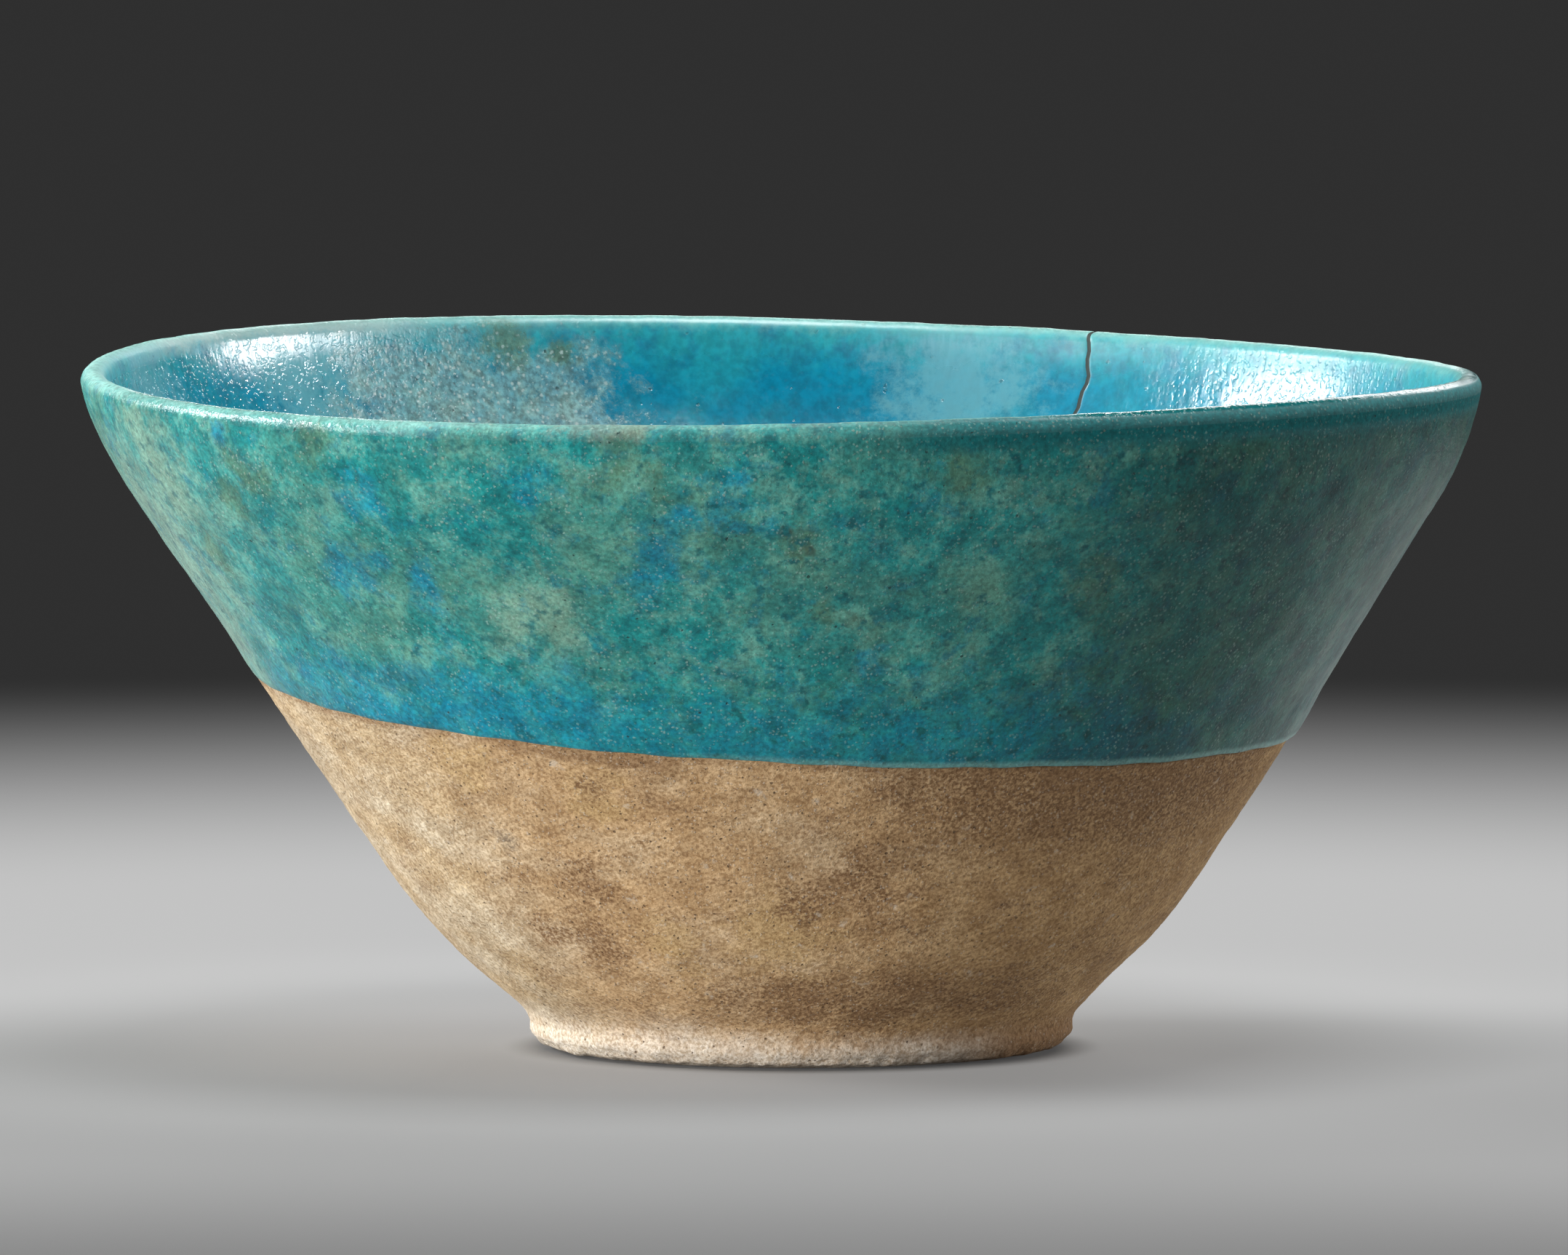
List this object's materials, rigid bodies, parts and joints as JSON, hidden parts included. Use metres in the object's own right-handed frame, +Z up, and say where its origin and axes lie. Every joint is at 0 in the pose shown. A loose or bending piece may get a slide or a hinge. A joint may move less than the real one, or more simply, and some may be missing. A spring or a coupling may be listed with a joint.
{
  "type": "bowl",
  "caption": "Conical stonepaste bowl with turquoise glaze inside and on the upper outside, bare clay below, standing on a low foot ring.",
  "frame": {"origin": "on the surface that the bowl stands on, under the middle of the rim", "axes": "+Z up out of the mouth, -Y towards the viewer of the picture, +X to that viewer's right"},
  "size_m": [0.1699, 0.17, 0.0837],
  "materials": {
    "stonepaste": "unglazed buff stonepaste, matt and grainy, with brown stains",
    "worn_stonepaste": "unglazed stonepaste worn pale at the foot",
    "slip": "fired slip, matt",
    "glaze_inside": "glossy turquoise blue glaze with whitish weathering",
    "glaze_outside": "worn satin turquoise glaze, mottled green and blue, pitted"
  },
  "bodies": {
    "root": {"moulded_body": "stonepaste", "foot_ring": "worn_stonepaste", "luting_slip": "slip", "inner_glaze": "glaze_inside", "outer_glaze": "glaze_outside"}
  },
  "joints": []
}
